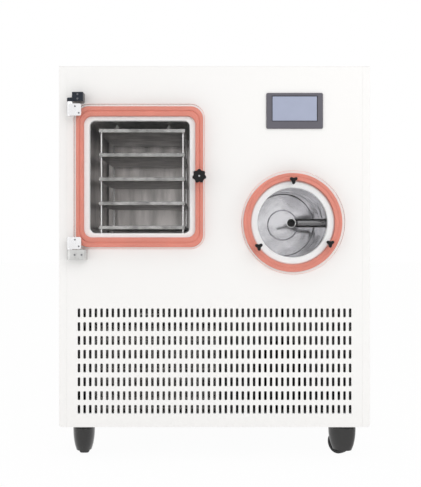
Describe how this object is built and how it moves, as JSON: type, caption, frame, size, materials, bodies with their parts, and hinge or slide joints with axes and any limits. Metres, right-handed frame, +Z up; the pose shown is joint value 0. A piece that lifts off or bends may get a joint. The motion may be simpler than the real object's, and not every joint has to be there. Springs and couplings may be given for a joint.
{
  "type": "freeze dryer",
  "caption": "Floor-standing freeze dryer with a shelf chamber behind a clear hinged door, a round cold trap, a touch screen and a slotted vent panel, on casters.",
  "frame": {"origin": "on the floor, under the middle of the whole machine's box", "axes": "+Z up, the front with the door and the cold trap faces -Y, +X is to the right as seen from the front"},
  "size_m": [1, 0.855, 1.263],
  "materials": {
    "white_paint": "warm white powder coat, fine texture, semi-gloss",
    "galvanised_sheet": "zinc-coated sheet, faint spangle",
    "stainless_steel": "stainless, ground fine",
    "polished_steel": "stainless, polished",
    "silicone_seal": "salmon red silicone, satin",
    "clear_acrylic": "clear cast acrylic, polished edges",
    "black_plastic": "black moulded nylon, satin gloss",
    "black_steel": "black e-coated steel",
    "wheel_rubber": "black wheel tread, satin",
    "ptfe": "white fluoropolymer",
    "screen_bezel": "dark grey frame, satin",
    "screen_display": "unlit display behind clear film",
    "fin_aluminium": "bare fin stock",
    "black_enamel": "black stove enamel",
    "grey_paint": "grey powder coat",
    "valve_brass": "turned brass",
    "red_plastic": "red dipped lever"
  },
  "bodies": {
    "cabinet": {"base_tray": "galvanised_sheet", "left_side_panel": "white_paint", "right_side_panel": "white_paint", "top_panel": "white_paint", "rear_panel": "white_paint", "front_fascia": "white_paint", "vent_panel": "white_paint", "deck_plate": "galvanised_sheet", "chamber_shell": "stainless_steel", "chamber_stand": "galvanised_sheet", "door_gasket": "silicone_seal", "hinge_block_upper": "black_plastic", "hinge_block_lower": "polished_steel", "shelf_1": "stainless_steel", "shelf_2": "stainless_steel", "shelf_3": "stainless_steel", "shelf_4": "stainless_steel", "shelf_5": "stainless_steel", "shelf_rod_front_left": "polished_steel", "shelf_rod_rear_left": "polished_steel", "shelf_hanger_left": "ptfe", "shelf_rod_front_right": "polished_steel", "shelf_rod_rear_right": "polished_steel", "shelf_hanger_right": "ptfe", "trap_vessel": "stainless_steel", "trap_saddle": "galvanised_sheet", "trap_gasket": "silicone_seal", "trap_cover": "clear_acrylic", "vapour_duct": "stainless_steel", "suction_pipe": "polished_steel", "screen_housing": "screen_bezel", "screen_glass": "screen_display", "condenser_coil": "fin_aluminium", "fan_shroud": "grey_paint", "compressor": "black_enamel", "control_box": "grey_paint", "vacuum_port": "polished_steel", "drain_valve_body": "valve_brass", "cable_gland": "black_plastic", "caster_plate_front_left": "black_steel", "caster_plate_front_right": "black_steel", "caster_plate_rear_left": "black_steel", "caster_plate_rear_right": "black_steel"},
    "door": {"chamber_door": "clear_acrylic", "hinge_arm_upper": "polished_steel", "hinge_arm_lower": "polished_steel"},
    "door_knob": {"door_knob": "black_plastic"},
    "trap_knob_1": {"trap_knob_1": "black_plastic"},
    "trap_knob_2": {"trap_knob_2": "black_plastic"},
    "trap_knob_3": {"trap_knob_3": "black_plastic"},
    "swivel_front_left": {"caster_yoke_front_left": "black_plastic"},
    "wheel_front_left": {"caster_wheel_front_left": "wheel_rubber"},
    "swivel_front_right": {"caster_yoke_front_right": "black_plastic"},
    "wheel_front_right": {"caster_wheel_front_right": "wheel_rubber"},
    "swivel_rear_left": {"caster_yoke_rear_left": "black_plastic"},
    "wheel_rear_left": {"caster_wheel_rear_left": "wheel_rubber"},
    "swivel_rear_right": {"caster_yoke_rear_right": "black_plastic"},
    "wheel_rear_right": {"caster_wheel_rear_right": "wheel_rubber"},
    "fan": {"fan_rotor": "black_enamel"},
    "drain_lever": {"drain_valve_lever": "red_plastic"}
  },
  "joints": [
    {"name": "door_hinge", "type": "hinge", "parent": "cabinet", "child": "door", "pos_m": [-0.459, -0.39315, 0.906], "axis": [0, 0, -1], "range_deg": [0, 120]},
    {"name": "door_knob_turn", "type": "hinge", "parent": "door", "child": "door_knob", "pos_m": [-0.0485, -0.41355, 0.906], "axis": [0, -1, 0], "continuous": true},
    {"name": "trap_knob_1_turn", "type": "hinge", "parent": "cabinet", "child": "trap_knob_1", "pos_m": [0.25, -0.41155, 0.894], "axis": [0, -1, 0], "continuous": true},
    {"name": "trap_knob_2_turn", "type": "hinge", "parent": "cabinet", "child": "trap_knob_2", "pos_m": [0.14023, -0.41155, 0.68314], "axis": [0, -1, 0], "continuous": true},
    {"name": "trap_knob_3_turn", "type": "hinge", "parent": "cabinet", "child": "trap_knob_3", "pos_m": [0.36605, -0.41155, 0.693], "axis": [0, -1, 0], "continuous": true},
    {"name": "swivel_front_left_turn", "type": "hinge", "parent": "cabinet", "child": "swivel_front_left", "pos_m": [-0.43, -0.30355, 0.098], "axis": [0, 0, 1], "continuous": true},
    {"name": "wheel_front_left_roll", "type": "hinge", "parent": "swivel_front_left", "child": "wheel_front_left", "pos_m": [-0.43, -0.27555, 0.0375], "axis": [1, 0, 0], "continuous": true},
    {"name": "swivel_front_right_turn", "type": "hinge", "parent": "cabinet", "child": "swivel_front_right", "pos_m": [0.43, -0.30355, 0.098], "axis": [0, 0, 1], "continuous": true},
    {"name": "wheel_front_right_roll", "type": "hinge", "parent": "swivel_front_right", "child": "wheel_front_right", "pos_m": [0.41126, -0.28274, 0.0375], "axis": [0.7431, 0.6691, 0], "continuous": true},
    {"name": "swivel_rear_left_turn", "type": "hinge", "parent": "cabinet", "child": "swivel_rear_left", "pos_m": [-0.43, 0.31645, 0.098], "axis": [0, 0, 1], "continuous": true},
    {"name": "wheel_rear_left_roll", "type": "hinge", "parent": "swivel_rear_left", "child": "wheel_rear_left", "pos_m": [-0.43, 0.34445, 0.0375], "axis": [1, 0, 0], "continuous": true},
    {"name": "swivel_rear_right_turn", "type": "hinge", "parent": "cabinet", "child": "swivel_rear_right", "pos_m": [0.43, 0.31645, 0.098], "axis": [0, 0, 1], "continuous": true},
    {"name": "wheel_rear_right_roll", "type": "hinge", "parent": "swivel_rear_right", "child": "wheel_rear_right", "pos_m": [0.43, 0.34445, 0.0375], "axis": [1, 0, 0], "continuous": true},
    {"name": "fan_spin", "type": "hinge", "parent": "cabinet", "child": "fan", "pos_m": [-0.19, -0.26355, 0.2686], "axis": [0, 1, 0], "continuous": true},
    {"name": "drain_lever_turn", "type": "hinge", "parent": "cabinet", "child": "drain_lever", "pos_m": [0.25, 0.40445, 0.4535], "axis": [0, 0, 1], "range_deg": [0, 90]}
  ]
}
